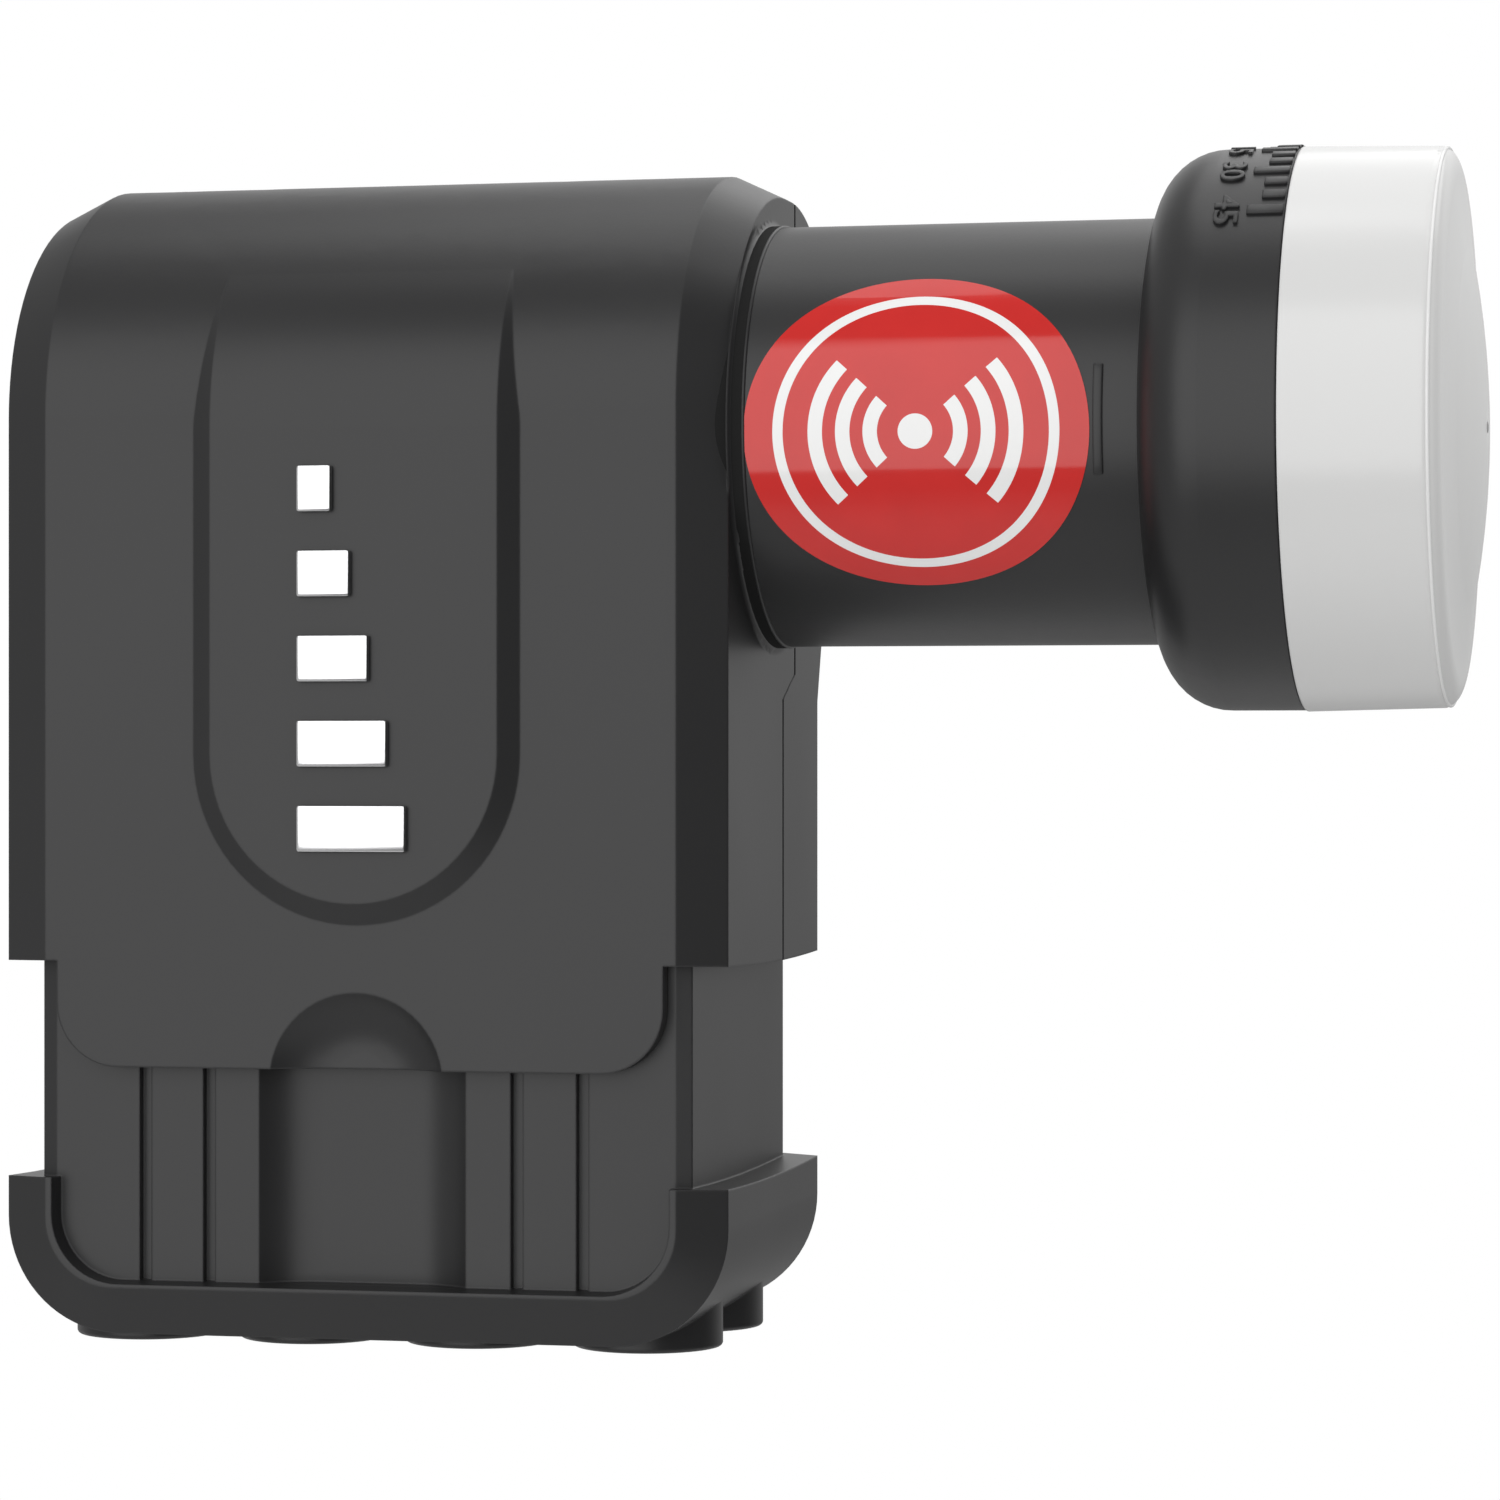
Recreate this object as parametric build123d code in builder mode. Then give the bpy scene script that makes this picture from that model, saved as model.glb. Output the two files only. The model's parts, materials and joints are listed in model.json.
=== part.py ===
from build123d import *
import os
from math import radians, sqrt, tan

# Satellite LNB with eight outputs and a sliding weather cover, in millimetres.
# +X runs along the feed axis towards the dish, +Z is up, and -Y is the marked front.
# The origin is on the feed axis, at the middle of the neck that the dish's clamp holds.

# Neck and collar
neck_diameter = 40.0
neck_length = 37.9
neck_wall = 1.8
neck_root_flare = 0.8
collar_diameter = 52.4
collar_length = 13.1
collar_wall = 2.0
shoulder_round = 6.1
shoulder_flat = 0.1

# Feed cap
cap_overhang = 0.1
cap_skirt = 12.55
cap_taper = 0.3
cap_rim_round = 1.0
cap_rim_flat = 2.0
cap_dome = 3.0
cap_wall = 1.6
cap_plug_length = 4.5
cap_plug_wall = 1.4
cap_gap = 0.1
seal_section = 1.0

# Housing body
body_length = 70.2
body_depth = 43.4
arch_height = 25.5
arch_crown_y = 5.0
arch_crown_flat = 2.6
arch_spring_z = 1.5
arch_back_z = 15.3
back_bulge = 1.9
bulge_top_z = -19.8
bulge_bottom_z = -25.4
body_drop = 49.75
edge_sag = 0.4
bevel_run = 4.5
bevel_rise = 2.1
side_wall = 1.6
arch_wall = 2.0
end_wall = 3.1
corner_run = 1.5
corner_rise = 0.5

# Seam between the shells
seam_low_y = 3.4
seam_high_y = 8.7
seam_low_z = -25.0
seam_high_z = -22.5
seam_gap = 0.1
seam_groove_width = 0.45
seam_groove_depth = 0.5

# Badge panel on the front
badge_half_width = 15.9
badge_bevel = 2.0
badge_height = 1.1
badge_round_z = -30.3
badge_merge_z = 15.0

# Tongues and thumb scoops
tongue_edge_gap = 1.15
tongue_drop = 9.95
tongue_corner = 6.0
scoop_radius = 8.45
scoop_depth = 2.2
scoop_below_edge = 1.25
scoop_wall = 1.4

# Weather cover
slide_clearance = 0.35
slide_travel = 20.0
cover_overlap = 11.75
cover_end_wall = 1.6
cover_front_wall = 1.8
cover_floor = 2.0
rim_height = 14.8
rim_corner = 11.0
rim_width = 5.1
rim_inner_corner = 6.5
recess_draft = 7.0
cover_inner_corner = 3.0
nest_gap = 0.45
groove_width = 1.15
groove_depth = 0.9
groove_end_margin = 6.7
groove_offsets = (-21.3, -15.0, 15.0, 21.3)
guide_rib_width = 0.55
guide_rib_height = 0.5
guide_rib_inset = 1.7
trough_half_width = 10.1
trough_depth = 2.15
hollow_radius = 8.5

# Cable tubes and connectors
ports_along = 4
port_end_margin = 10.35
port_edge_wall = 0.95
tube_radius = 7.1
tube_bore_radius = 6.1
tube_length = 5.5
tube_stand_out = 1.1
tube_edge_round = 0.4
thread_radius = 4.76
thread_length = 12.5
thread_tip_chamfer = 0.5
port_flange_radius = 5.4
port_flange_height = 1.5
port_shank_radius = 3.5
insulator_radius = 2.8
insulator_recess = 0.6
contact_radius = 0.9
contact_tail_radius = 0.5
contact_tail_length = 6.0
press_gap = 0.05

# Feed casting and what is screwed to it
guide_bore_radius = 8.75
guide_wall = 1.25
guide_end_inset = 25.05
support_ring_width = 2.0
support_ring_x = 11.0
support_gap = 0.15
horn_base = 2.0
horn_gap = 4.9
choke_wall = 1.3
choke_count = 3
choke_gap = 0.4
choke_step = 1.0
chamber_head_room = 11.5
chamber_drop = 10.75
chamber_wall = 4.0
chamber_gap = 0.45
web_thickness = 2.5
web_drop = 5.0
seal_thickness = 0.5
lid_thickness = 1.5
lid_clearance = 0.7
board_thickness = 1.0
board_drop = 3.0
board_gap = 0.2
board_post_radius = 2.5
board_post_x = 16.5
board_post_z = (-24.0, -48.0)
screw_radius = 0.95
screw_head_radius = 1.9
screw_head_height = 1.3
screw_depth = 7.0
screw_floor_gap = 6.5
locating_post_radius = 3.0
locating_post_x = 18.0
locating_post_z = -8.0
locating_gap = 0.1

# Probes in the waveguide
probe_radius = 0.5
probe_tip = 4.0
probe_bend = 0.65
bead_radius = 2.0
horizontal_probe_inset = 15.05
vertical_probe_inset = 22.05
probe_board_overlap = 4.0
isolation_pin_inset = 18.55
isolation_pin_radius = 0.8

# Places worked out from those sizes
neck_radius = neck_diameter / 2
neck_bore = neck_radius - neck_wall
collar_radius = collar_diameter / 2
collar_bore = collar_radius - collar_wall
collar_start = neck_length / 2
collar_round = min(shoulder_round, collar_radius - neck_radius - shoulder_flat)
shoulder_foot = collar_radius - collar_round
collar_front = collar_start + collar_length
body_face = -neck_length / 2
body_mid = body_face - body_length / 2
half_depth = body_depth / 2
back_depth = half_depth + back_bulge
half_length = body_length / 2
cavity_half_length = half_length - end_wall
cavity_half_depth = half_depth - side_wall
cavity_end = body_mid + cavity_half_length
tongue_bottom = -body_drop - tongue_drop
tongue_half_width = half_length - bevel_run - tongue_edge_gap
cover_half_length = cavity_half_length - slide_clearance
cover_half_depth = cavity_half_depth - slide_clearance
cover_inner_length = cover_half_length - cover_end_wall
cover_inner_depth = cover_half_depth - cover_front_wall
cover_top = -body_drop + cover_overlap
rim_top = -body_drop - slide_travel - nest_gap
rim_bottom = rim_top - rim_height
panel_bottom = tongue_bottom - slide_travel - nest_gap
recess_depth = half_depth - cover_half_depth
panel_foot = panel_bottom + recess_depth * tan(radians(recess_draft))
cover_floor_top = rim_bottom + cover_floor
tube_bottom = rim_bottom - tube_stand_out
groove_top = cover_top - groove_end_margin
guide_rib_top = groove_top - slide_clearance
guide_rib_bottom = tongue_bottom + guide_rib_inset
chamber_half_length = cover_inner_length - chamber_gap
chamber_top = arch_height - arch_wall - chamber_head_room
chamber_bottom = -body_drop - chamber_drop
chamber_floor = chamber_bottom + chamber_wall
chamber_inner_length = chamber_half_length - chamber_wall
lid_outer = cover_inner_depth - trough_depth - lid_clearance
lid_inner = lid_outer - lid_thickness
chamber_half_depth = lid_inner - seal_thickness
port_pitch = (body_length - 2 * port_end_margin) / (ports_along - 1)
port_y = chamber_half_depth - port_edge_wall - port_shank_radius - press_gap
board_inner = port_y + contact_tail_radius + press_gap
guide_radius = guide_bore_radius + guide_wall
guide_end_x = body_face - guide_end_inset
board_top = -guide_radius - board_drop
web_top = board_top - web_drop
horizontal_probe_x = body_face - horizontal_probe_inset
vertical_probe_x = body_face - vertical_probe_inset
isolation_pin_x = body_face - isolation_pin_inset
flange_bottom = chamber_bottom - port_flange_height
thread_tip = flange_bottom - thread_length
horn_base_x = collar_start + collar_round + support_gap
horn_base_front = horn_base_x + horn_base
cap_back = collar_front + cap_gap
cap_radius = collar_radius + cap_overhang
horn_front = cap_back + cap_skirt - horn_gap
cap_plug_radius = collar_bore - 2 * cap_gap
cap_plug_bore = cap_plug_radius - cap_plug_wall
choke_radius = cap_plug_bore - choke_gap
port_spots = [
    (body_mid + (i - (ports_along - 1) / 2) * port_pitch, y)
    for y in (-port_y, port_y)
    for i in range(ports_along)
]
screw_x = chamber_half_length - chamber_wall / 2

os.makedirs("parts", exist_ok=True)


def save(builder, name):
    """Label a finished piece and write it under its node's name."""
    builder.part.label = name
    export_step(builder.part, f"parts/{name}.step")


def arched_block(inset, top_inset, drop, half_len, rise, run):
    """The housing's section, an arch with its crown set back, run along the feed axis and bevelled."""
    front = half_depth - inset
    back = back_depth - inset
    height = arch_height - top_inset
    back_crown_y = arch_crown_y + arch_crown_flat
    with BuildPart() as block:
        with BuildSketch(Plane.YZ.offset(body_mid - half_len)):
            with BuildLine():
                front_arch = EllipticalCenterArc(
                    (arch_crown_y, arch_spring_z),
                    front + arch_crown_y,
                    height - arch_spring_z,
                    start_angle=90,
                    arc_size=90,
                )
                back_arch = EllipticalCenterArc(
                    (back_crown_y, arch_back_z),
                    back - back_crown_y,
                    height - arch_back_z,
                    start_angle=0,
                    arc_size=90,
                )
                Line(back_arch @ 1, front_arch @ 0)
                Line(front_arch @ 1, (-front, -drop))
                ThreePointArc((-front, -drop), (0, -drop - edge_sag), (front, -drop))
                Polyline((front, -drop), (front, bulge_bottom_z), (back, bulge_top_z), back_arch @ 0)
            make_face()
        extrude(amount=2 * half_len)
        for end_index in (0, -1):
            end = block.faces().sort_by(Axis.X)[end_index]
            chamfer(end.edges().sort_by(Axis.Z)[1:], length=rise, length2=run, reference=end)
    return block.part


def behind_seam(gap):
    """Everything behind the stepped seam between the front and the rear shell."""
    top = 2 * arch_height
    bottom = 2 * tongue_bottom
    with BuildPart() as zone:
        with BuildSketch(Plane.YZ.offset(body_mid - body_length)):
            with BuildLine():
                Polyline(
                    (seam_low_y + gap, bottom),
                    (seam_low_y + gap, seam_low_z),
                    (seam_high_y + gap, seam_high_z),
                    (seam_high_y + gap, top),
                    (body_depth, top),
                    (body_depth, bottom),
                    close=True,
                )
            make_face()
        extrude(amount=2 * body_length)
    return zone.part


def hollow_run(depth):
    """How far a hollow side reaches from the edge of a thumb scoop or trough to its flat floor."""
    return sqrt(hollow_radius**2 - (hollow_radius - depth) ** 2)


def scoop_bowl(spread):
    """Thumb scoop with a flat floor and hollow sides, grown by spread for the wall behind it."""
    floor_radius = scoop_radius - hollow_run(scoop_depth)
    edge_radius = scoop_radius + spread
    floor_y = -half_depth + scoop_depth + spread
    with BuildPart() as bowl:
        with BuildSketch():
            with BuildLine():
                side = TangentArc((floor_radius, floor_y), (edge_radius, -half_depth), tangent=(1, 0))
                Polyline(
                    side @ 1,
                    (edge_radius, -half_depth - scoop_depth),
                    (0, -half_depth - scoop_depth),
                    (0, floor_y),
                    side @ 0,
                )
            make_face()
        revolve(axis=Axis.Y)
    return Pos(body_mid, 0, tongue_bottom - scoop_below_edge) * bowl.part


def tongue_with_scoop(post_root):
    """Front tongue with its thumb scoop, the ribs that guide the cover and the posts on the lid."""
    with BuildPart() as tongue:
        add(scoop_bowl(scoop_wall))
        with BuildSketch(Plane.XZ.offset(half_depth)):
            with Locations((body_mid, tongue_bottom)):
                Rectangle(2 * tongue_half_width, tongue_drop, align=(Align.CENTER, Align.MIN))
        extrude(amount=-scoop_depth - scoop_wall, mode=Mode.INTERSECT)
        with BuildSketch(Plane.XZ.offset(half_depth)) as face:
            with Locations((body_mid, tongue_bottom)):
                Rectangle(2 * tongue_half_width, tongue_drop + side_wall, align=(Align.CENTER, Align.MIN))
            fillet(face.vertices().group_by(Axis.Y)[0], tongue_corner)
        extrude(amount=-side_wall)
        add(scoop_bowl(0), mode=Mode.SUBTRACT)
        with Locations([(body_mid + x, -cavity_half_depth, guide_rib_bottom) for x in groove_offsets]):
            Box(
                guide_rib_width,
                slide_clearance + guide_rib_height,
                guide_rib_top - guide_rib_bottom,
                align=(Align.CENTER, Align.MIN, Align.MIN),
            )
        post_y = -lid_outer - locating_gap
        post_xs = (body_mid - locating_post_x, body_mid + locating_post_x)
        with Locations([(x, post_y, locating_post_z) for x in post_xs]):
            Cylinder(
                locating_post_radius,
                post_root + post_y,
                rotation=(90, 0, 0),
                align=(Align.CENTER, Align.CENTER, Align.MIN),
            )
    return tongue.part


# Hollow housing with a tongue on each side, which the seam then parts into two shells
cavity = arched_block(
    side_wall, arch_wall, body_drop + tongue_drop, cavity_half_length, corner_rise, corner_run
)
with BuildPart() as housing:
    add(arched_block(0, 0, body_drop, half_length, bevel_rise, bevel_run))
    add(cavity, mode=Mode.SUBTRACT)
    add(tongue_with_scoop(half_depth - side_wall / 2))
    mirror(tongue_with_scoop(back_depth - side_wall / 2), about=Plane.XZ)

# Shadow line that the seam shows outside, cut into the rear shell
with BuildPart() as seam_groove:
    add(behind_seam(seam_gap))
    add(behind_seam(seam_gap + seam_groove_width), mode=Mode.SUBTRACT)
    add(
        arched_block(
            seam_groove_depth,
            seam_groove_depth,
            body_drop + tongue_drop,
            half_length - seam_groove_depth,
            bevel_rise,
            bevel_run,
        ),
        mode=Mode.SUBTRACT,
    )

# Raised badge panel, whose face bends back into the arch so that its bevel runs out to points
badge_face_y = half_depth + badge_height
badge_merge_rise = (badge_merge_z - arch_spring_z) / (arch_height - arch_spring_z)
badge_merge_y = (half_depth + arch_crown_y) * sqrt(1 - badge_merge_rise**2) - arch_crown_y
with BuildPart() as badge_panel:
    with BuildSketch(Plane.XZ.offset(badge_face_y)):
        with Locations((body_mid, badge_round_z)):
            Circle(badge_half_width)
            Rectangle(2 * badge_half_width, arch_height - badge_round_z, align=(Align.CENTER, Align.MIN))
    extrude(amount=-badge_face_y)
    with BuildSketch(Plane.YZ.offset(body_mid - half_length)):
        with BuildLine():
            bend = TangentArc((-badge_face_y, 0), (-badge_merge_y, badge_merge_z), tangent=(0, 1))
            Polyline(
                bend @ 1,
                (0, badge_merge_z),
                (0, -body_drop),
                (-badge_face_y, -body_drop),
                bend @ 0,
            )
        make_face()
    extrude(amount=body_length, mode=Mode.INTERSECT)
    panel_face = badge_panel.faces().sort_by(Axis.Y)[0]
    panel_rim = panel_face.edges().sort_by(Axis.Z)[:-1]
    chamfer(panel_rim, length=badge_bevel, length2=badge_height, reference=panel_face)
    add(cavity, mode=Mode.SUBTRACT)

with BuildPart() as front_shell:
    add(housing.part)
    add(behind_seam(0), mode=Mode.SUBTRACT)
    add(badge_panel.part)
    with BuildSketch(Plane.XZ):
        with BuildLine():
            flare = CenterArc(
                (body_face + neck_root_flare, neck_radius + neck_root_flare), neck_root_flare, 180, 90
            )
            shoulder = CenterArc((collar_start + collar_round, shoulder_foot), collar_round, 90, 90)
            Polyline(
                flare @ 0,
                (body_face, neck_radius),
                (cavity_end, neck_radius),
                (cavity_end, 0),
                (collar_front, 0),
                (collar_front, collar_radius),
                shoulder @ 0,
            )
            Polyline(flare @ 1, (collar_start, neck_radius), shoulder @ 1)
        make_face()
    revolve(axis=Axis.X)
    with BuildSketch(Plane.XZ):
        with BuildLine():
            hollow = CenterArc(
                (collar_start + collar_round, shoulder_foot), collar_round - collar_wall, 90, 90
            )
            Polyline(
                hollow @ 1,
                (collar_start + collar_wall, neck_bore),
                (cavity_end, neck_bore),
                (cavity_end, 0),
                (collar_front, 0),
                (collar_front, collar_bore),
                hollow @ 0,
            )
        make_face()
    revolve(axis=Axis.X, mode=Mode.SUBTRACT)
save(front_shell, "front_shell")

with BuildPart() as rear_shell:
    add(housing.part)
    add(behind_seam(seam_gap), mode=Mode.INTERSECT)
    add(seam_groove.part, mode=Mode.SUBTRACT)
    with Locations((cavity_end, 0, 0)):
        Cylinder(
            neck_radius + seam_gap,
            2 * end_wall,
            rotation=(0, 90, 0),
            mode=Mode.SUBTRACT,
        )
save(rear_shell, "rear_shell")

# White cap over the horn, with a plug that carries its seal inside the collar
rim_x = cap_back + cap_skirt
front_radius = cap_radius - cap_taper
dome_radius = front_radius - cap_rim_round
dome_x = rim_x + cap_rim_round
seal_x = cap_back - cap_plug_length / 2
seal_radius = collar_bore - press_gap - seal_section / 2
groove_radius = seal_radius - seal_section / 2 - press_gap
with BuildPart() as feed_cap:
    with BuildSketch(Plane.XZ):
        with BuildLine():
            rim = CenterArc((rim_x, dome_radius), cap_rim_round, 0, 90)
            dome = TangentArc((dome_x + cap_dome, 0), (dome_x, dome_radius - cap_rim_flat), tangent=(0, 1))
            Line(dome @ 1, rim @ 0)
            Polyline(rim @ 1, (cap_back, cap_radius), (cap_back, 0), dome @ 0)
        make_face()
    revolve(axis=Axis.X)
    with BuildSketch(Plane.XZ):
        with BuildLine():
            inside = TangentArc(
                (dome_x + cap_dome - cap_wall, 0),
                (dome_x - cap_wall, front_radius - cap_wall),
                tangent=(0, 1),
            )
            Polyline(
                inside @ 1,
                (cap_back + cap_wall, cap_radius - cap_wall),
                (cap_back + cap_wall, 0),
                inside @ 0,
            )
        make_face()
    revolve(axis=Axis.X, mode=Mode.SUBTRACT)
    with BuildSketch(Plane.XZ):
        with Locations((cap_back - cap_plug_length, 0)):
            Rectangle(cap_plug_length + cap_wall, cap_plug_radius, align=Align.MIN)
    revolve(axis=Axis.X)
    with BuildSketch(Plane.XZ):
        with Locations((cap_back - cap_plug_length, 0)):
            Rectangle(cap_plug_length + cap_wall, cap_plug_bore, align=Align.MIN)
        with Locations((seal_x, groove_radius)):
            Rectangle(
                seal_section + 2 * press_gap, seal_section + cap_wall, align=(Align.CENTER, Align.MIN)
            )
    revolve(axis=Axis.X, mode=Mode.SUBTRACT)
save(feed_cap, "feed_cap")

with BuildPart() as cap_seal:
    with BuildSketch(Plane.XZ):
        with Locations((seal_x, seal_radius)):
            Circle(seal_section / 2)
    revolve(axis=Axis.X)
save(cap_seal, "cap_seal")


def trough_prism(spread, bottom):
    """Thumb trough with a flat floor and hollow sides, grown by spread for the wall behind it."""
    floor_half = trough_half_width - hollow_run(trough_depth)
    edge_half = trough_half_width + spread
    floor_y = -cover_half_depth + trough_depth + spread
    with BuildPart() as prism:
        with BuildSketch(Plane.XY.offset(bottom)):
            with BuildLine():
                for turn in (-1, 1):
                    TangentArc(
                        (body_mid + turn * floor_half, floor_y),
                        (body_mid + turn * edge_half, -cover_half_depth),
                        tangent=(turn, 0),
                    )
                Line((body_mid - floor_half, floor_y), (body_mid + floor_half, floor_y))
                Line((body_mid - edge_half, -cover_half_depth), (body_mid + edge_half, -cover_half_depth))
            make_face()
        extrude(amount=cover_top - bottom)
    return prism.part


def cover_rim():
    """Flared foot of the cover: a bevelled U on the front and the back, round a recessed panel."""
    with BuildPart() as rim:
        with BuildSketch(Plane.XZ) as outline:
            with Locations((body_mid, rim_bottom)):
                Rectangle(body_length, rim_height, align=(Align.CENTER, Align.MIN))
            fillet(outline.vertices().group_by(Axis.Y)[0], rim_corner)
        extrude(amount=half_depth, both=True)
        for side_index in (0, -1):
            face = rim.faces().sort_by(Axis.Y)[side_index]
            chamfer(face.edges().sort_by(Axis.Z)[:-1], length=bevel_run, length2=bevel_rise, reference=face)
        with BuildSketch(Plane.XZ.offset(half_depth)) as panel:
            with Locations((body_mid, panel_bottom)):
                Rectangle(
                    body_length - 2 * rim_width,
                    rim_top - panel_bottom + recess_depth,
                    align=(Align.CENTER, Align.MIN),
                )
            fillet(panel.vertices().group_by(Axis.Y)[0], rim_inner_corner)
        recess = extrude(amount=-recess_depth, taper=recess_draft, mode=Mode.SUBTRACT)
        mirror(recess, about=Plane.XZ, mode=Mode.SUBTRACT)
        with BuildSketch(Plane.YZ.offset(body_mid)):
            with BuildLine():
                ThreePointArc((-half_depth, rim_top), (0, rim_top - edge_sag), (half_depth, rim_top))
                Line((-half_depth, rim_top), (half_depth, rim_top))
            make_face()
        extrude(amount=half_length, both=True, mode=Mode.SUBTRACT)
    return rim.part


with BuildPart() as cable_tube:
    Cylinder(tube_radius, tube_length, align=(Align.CENTER, Align.CENTER, Align.MIN))
    fillet(cable_tube.edges().group_by(Axis.Z)[0], tube_edge_round)

# Sliding weather cover: rim, sleeve and eight cable tubes, then what is cut from them
with BuildPart() as weather_cover:
    with BuildSketch(Plane.XY.offset(rim_top - cover_floor)):
        with Locations((body_mid, 0)):
            Rectangle(2 * cover_half_length, 2 * cover_half_depth)
    extrude(amount=cover_top - rim_top + cover_floor)
    for end_index in (0, -1):
        end = weather_cover.faces().sort_by(Axis.X)[end_index]
        chamfer(end.edges().filter_by(Axis.Z), length=corner_rise, length2=corner_run, reference=end)
    add(cover_rim())
    with Locations([(x, y, tube_bottom) for x, y in port_spots]):
        add(cable_tube.part)
    with BuildSketch(Plane.XZ) as inside:
        with Locations((body_mid, cover_floor_top)):
            Rectangle(
                2 * cover_inner_length, cover_top - cover_floor_top, align=(Align.CENTER, Align.MIN)
            )
        fillet(inside.vertices().group_by(Axis.Y)[0], cover_inner_corner)
    extrude(amount=cover_inner_depth, both=True, mode=Mode.SUBTRACT)
    trough_back = add(trough_prism(cover_front_wall, cover_floor_top))
    mirror(trough_back, about=Plane.XZ)
    trough = add(trough_prism(0, panel_foot), mode=Mode.SUBTRACT)
    mirror(trough, about=Plane.XZ, mode=Mode.SUBTRACT)
    with Locations([(x, y, tube_bottom) for x, y in port_spots]):
        Cylinder(
            tube_bore_radius,
            cover_top - tube_bottom,
            align=(Align.CENTER, Align.CENTER, Align.MIN),
            mode=Mode.SUBTRACT,
        )
    groove_spots = [
        (body_mid + x, y, panel_foot)
        for x in groove_offsets
        for y in (-cover_half_depth, cover_half_depth)
    ]
    with Locations(groove_spots):
        Box(
            groove_width,
            2 * groove_depth,
            groove_top - panel_foot,
            align=(Align.CENTER, Align.CENTER, Align.MIN),
            mode=Mode.SUBTRACT,
        )
save(weather_cover, "weather_cover")

# Die-cast feed: board chamber, waveguide tube, support rings in the neck, and horn with choke rings
chamber_height = chamber_top - chamber_bottom
pocket_top = chamber_top - chamber_wall
choke_pitch = (choke_radius - guide_radius) / choke_count
choke_radii = [guide_radius + choke_pitch * (i + 1) for i in range(choke_count)]
along_x = (0, 90, 0)
along_y = (90, 0, 0)
screw_high = chamber_top - chamber_wall / 2
screw_low = chamber_floor + screw_floor_gap
screw_rows = (screw_high, (screw_high + screw_low) / 2, screw_low)
screw_spots = [(body_mid + x, z) for x in (-screw_x, screw_x) for z in screw_rows]


def disc(x, length, radius, mode=Mode.ADD):
    """Round stretch of the feed from x along its axis."""
    with Locations((x, 0, 0)):
        Cylinder(
            radius,
            length,
            rotation=along_x,
            align=(Align.CENTER, Align.CENTER, Align.MIN),
            mode=mode,
        )


with BuildPart() as feed_casting:
    with BuildSketch(Plane.XZ):
        with Locations((body_mid, chamber_bottom)):
            Rectangle(2 * chamber_half_length, chamber_height, align=(Align.CENTER, Align.MIN))
        with Locations((body_mid, chamber_floor)):
            Rectangle(
                2 * chamber_inner_length,
                pocket_top - chamber_floor,
                align=(Align.CENTER, Align.MIN),
                mode=Mode.SUBTRACT,
            )
    extrude(amount=chamber_half_depth, both=True)
    with BuildSketch(Plane.XZ):
        with Locations((body_mid, chamber_floor)):
            Rectangle(2 * chamber_inner_length, web_top - chamber_floor, align=(Align.CENTER, Align.MIN))
    extrude(amount=web_thickness / 2, both=True)
    post_spots = [(body_mid + x, 0, z) for x in (-board_post_x, board_post_x) for z in board_post_z]
    with Locations(post_spots):
        Cylinder(board_post_radius, 2 * board_inner, rotation=along_y)
    disc(guide_end_x, horn_front - guide_end_x, guide_radius)
    for ring_x in (-support_ring_x, support_ring_x):
        disc(ring_x - support_ring_width / 2, support_ring_width, neck_bore - support_gap)
    disc(horn_base_x, horn_base, collar_bore - 2 * support_gap)
    with BuildSketch(Plane.YZ.offset(horn_base_front)):
        for radius in choke_radii:
            Circle(radius)
            Circle(radius - choke_wall, mode=Mode.SUBTRACT)
            Circle(guide_radius)
    extrude(amount=horn_front - horn_base_front - choke_step)
    disc(guide_end_x + guide_wall, neck_length + body_length, guide_bore_radius, Mode.SUBTRACT)
    with Locations((horizontal_probe_x, 0, 0)):
        Cylinder(
            bead_radius + press_gap,
            guide_radius,
            rotation=along_y,
            align=(Align.CENTER, Align.CENTER, Align.MIN),
            mode=Mode.SUBTRACT,
        )
    with Locations((vertical_probe_x, 0, 0)):
        Cylinder(
            bead_radius + press_gap,
            guide_radius,
            align=(Align.CENTER, Align.CENTER, Align.MAX),
            mode=Mode.SUBTRACT,
        )
    with Locations((isolation_pin_x, 0, 0)):
        Cylinder(
            isolation_pin_radius + press_gap, 2 * guide_radius, rotation=along_y, mode=Mode.SUBTRACT
        )
    with Locations([(x, y, chamber_bottom) for x, y in port_spots]):
        Cylinder(
            port_shank_radius + press_gap,
            chamber_wall,
            align=(Align.CENTER, Align.CENTER, Align.MIN),
            mode=Mode.SUBTRACT,
        )
    with Locations([(x, y, z) for x, z in screw_spots for y in (-chamber_half_depth, chamber_half_depth)]):
        Cylinder(screw_radius + press_gap, 2 * screw_depth, rotation=along_y, mode=Mode.SUBTRACT)
save(feed_casting, "feed_casting")


def chamber_plate(side, near, thickness, open_middle):
    """Flat plate of the chamber's outline on one side of it, with the lid screws' holes."""
    with BuildPart() as plate:
        with BuildSketch(Plane.XZ.offset(side * near)):
            with Locations((body_mid, chamber_bottom)):
                Rectangle(2 * chamber_half_length, chamber_height, align=(Align.CENTER, Align.MIN))
            if open_middle:
                with Locations((body_mid, chamber_floor)):
                    Rectangle(
                        2 * chamber_inner_length,
                        pocket_top - chamber_floor,
                        align=(Align.CENTER, Align.MIN),
                        mode=Mode.SUBTRACT,
                    )
            with Locations(screw_spots):
                Circle(screw_radius + press_gap, mode=Mode.SUBTRACT)
        extrude(amount=side * thickness)
    return plate


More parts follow.
